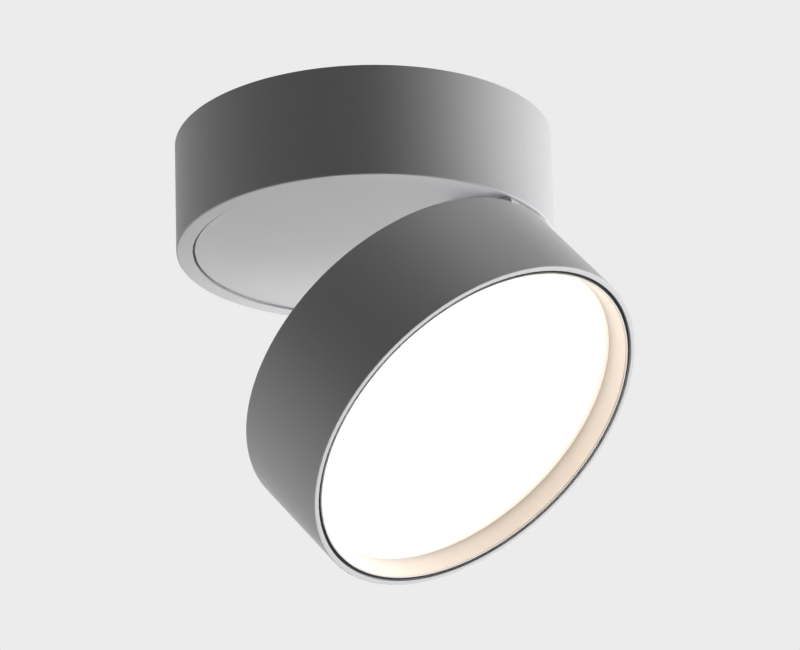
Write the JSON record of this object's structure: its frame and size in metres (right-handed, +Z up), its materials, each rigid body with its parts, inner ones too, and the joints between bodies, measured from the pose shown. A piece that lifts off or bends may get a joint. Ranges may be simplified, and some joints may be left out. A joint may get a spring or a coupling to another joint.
{
  "type": "surface mounted ceiling spotlight",
  "caption": "Round ceiling base with a turntable in its underside, and an equal round lamp head with an opal diffuser that folds out from the rim on a hinge.",
  "frame": {"origin": "centre of the ceiling plate's face that meets the ceiling", "axes": "+Z up into the ceiling along the pan axis, +X from the centre to the rim hinge"},
  "size_m": [0.1443, 0.12, 0.1445],
  "materials": {
    "white_paint": "fine satin powder coat",
    "zinc_steel": "zinc plated",
    "black_rubber": "moulded rubber",
    "grey_rubber": "moulded rubber",
    "steel": "plain steel",
    "natural_nylon": "moulded nylon",
    "case_plastic": "moulded plastic",
    "board_green": "solder resist",
    "winding_tape": "wound tape",
    "capacitor_sleeve": "shrunk sleeve",
    "chip_black": "moulded resin",
    "brass": "plain brass",
    "lead_jacket": "soft jacket",
    "bare_aluminium": "machined",
    "board_white": "white solder resist on aluminium",
    "led_phosphor": "phosphor resin",
    "white_plastic": "moulded plastic",
    "white_foam": "foam",
    "opal": "opal satin sheet",
    "bezel_white": "smooth moulded plastic"
  },
  "bodies": {
    "base": {"ceiling_plate": "zinc_steel", "cable_grommet": "black_rubber", "base_housing": "white_paint", "locking_screw": "steel", "glide_washer": "natural_nylon", "wave_washer": "steel", "driver_tray": "zinc_steel", "tray_snap_ring": "steel", "driver_case": "case_plastic", "driver_lid": "case_plastic", "driver_board": "board_green", "driver_transformer": "winding_tape", "driver_capacitors": "capacitor_sleeve", "driver_chips": "chip_black", "driver_screws": "steel", "terminal_block": "natural_nylon", "terminal_screws": "brass", "cord_clamp": "case_plastic", "cord_clamp_screws": "steel", "earth_washer": "brass", "earth_screw": "brass", "mains_leads": "lead_jacket", "output_lead": "lead_jacket"},
    "turntable": {"turntable": "white_paint", "pan_stop_pin": "steel", "base_hinge_leaf": "white_paint", "base_leaf_screws": "steel", "hinge_pin": "steel", "turntable_grommet": "grey_rubber", "turntable_lead": "lead_jacket"},
    "head": {"head_shell": "white_paint", "head_hinge_leaf": "white_paint", "head_leaf_screws": "steel", "head_grommet": "grey_rubber", "heat_spreader": "bare_aluminium", "thermal_pad": "grey_rubber", "led_board": "board_white", "led_chips": "led_phosphor", "board_screws": "steel", "board_connector": "natural_nylon", "head_lead": "lead_jacket", "reflector": "white_plastic", "reflector_screws": "steel", "diffuser_seal": "white_foam", "diffuser": "opal", "bezel_ring": "bezel_white", "groove_seal": "black_rubber"}
  },
  "joints": [
    {"name": "pan", "type": "hinge", "parent": "base", "child": "turntable", "pos_m": [0, 0, -0.0345], "axis": [0, 0, 1], "range_deg": [-175, 175]},
    {"name": "tilt", "type": "hinge", "parent": "turntable", "child": "head", "pos_m": [0.05835, 0, -0.03895], "axis": [0, -1, 0], "range_deg": [-40, 50]}
  ]
}
